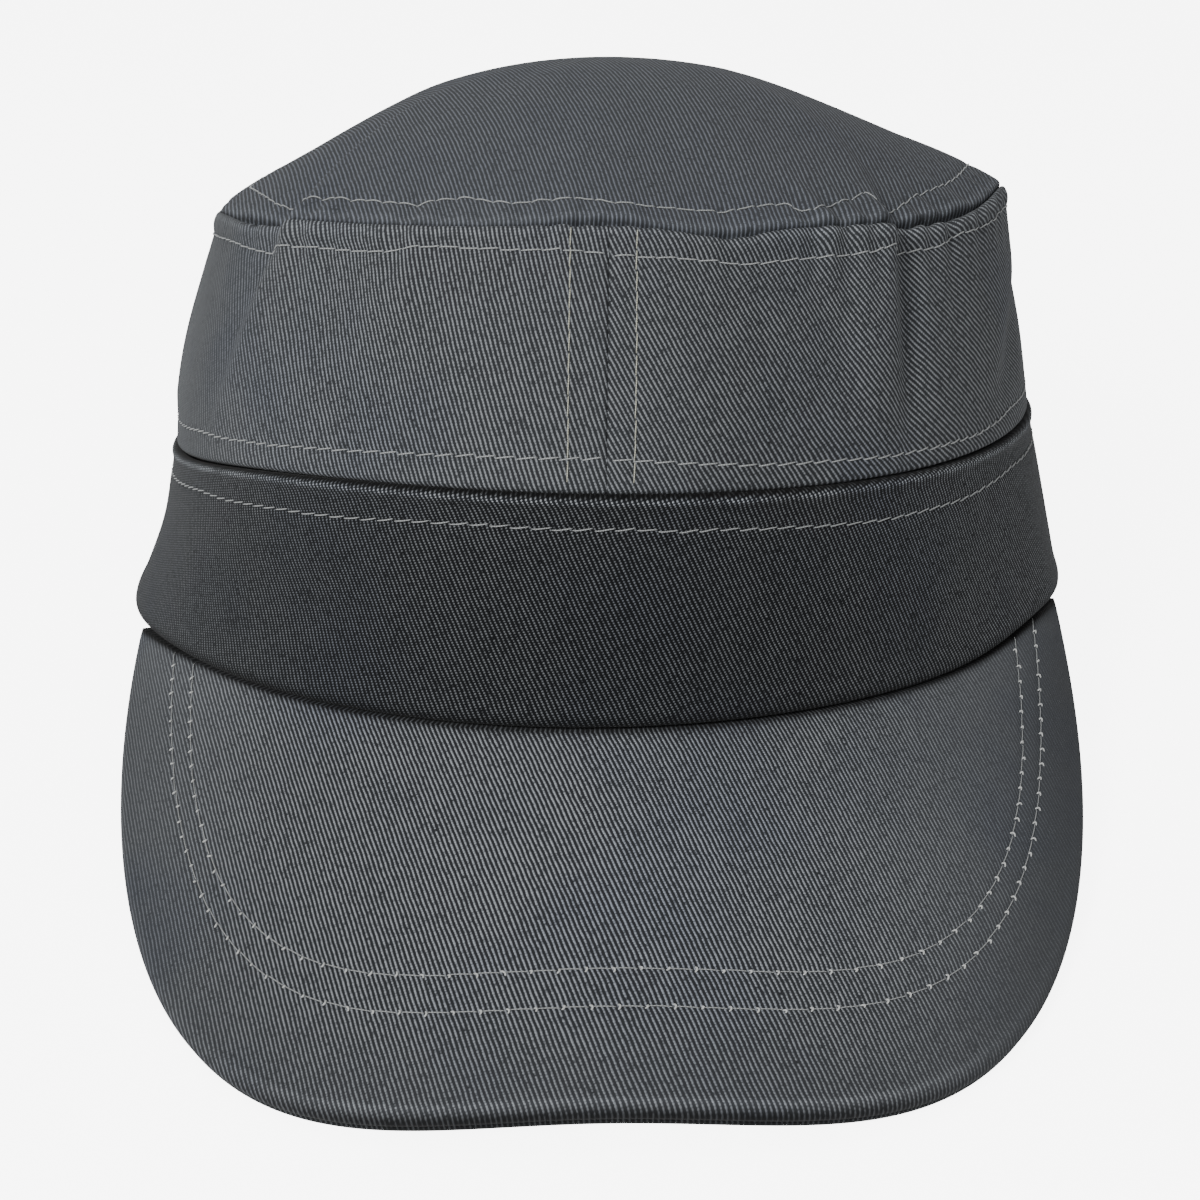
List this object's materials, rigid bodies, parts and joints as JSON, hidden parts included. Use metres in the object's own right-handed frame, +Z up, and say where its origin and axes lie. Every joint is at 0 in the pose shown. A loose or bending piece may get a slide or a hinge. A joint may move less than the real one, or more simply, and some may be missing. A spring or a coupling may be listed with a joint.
{
  "type": "patrol cap",
  "caption": "Soft twill patrol cap with a domed top, two side panels, a band round the head and a curved stiff peak.",
  "frame": {"origin": "under the middle of the standing cap's box, on the surface that it stands on", "axes": "+Z up, -Y where the peak points, +X the wearer's left"},
  "size_m": [0.186, 0.264, 0.1163],
  "materials": {
    "band_twill": "dark grey cotton twill",
    "panel_twill": "charcoal grey cotton twill",
    "peak_twill": "charcoal grey cotton twill",
    "thread": "light grey sewing thread"
  },
  "bodies": {
    "root": {"band": "band_twill", "side_panel_left": "panel_twill", "side_panel_right": "panel_twill", "crown_top": "panel_twill", "peak_upper": "peak_twill", "peak_lower": "peak_twill"}
  },
  "joints": []
}
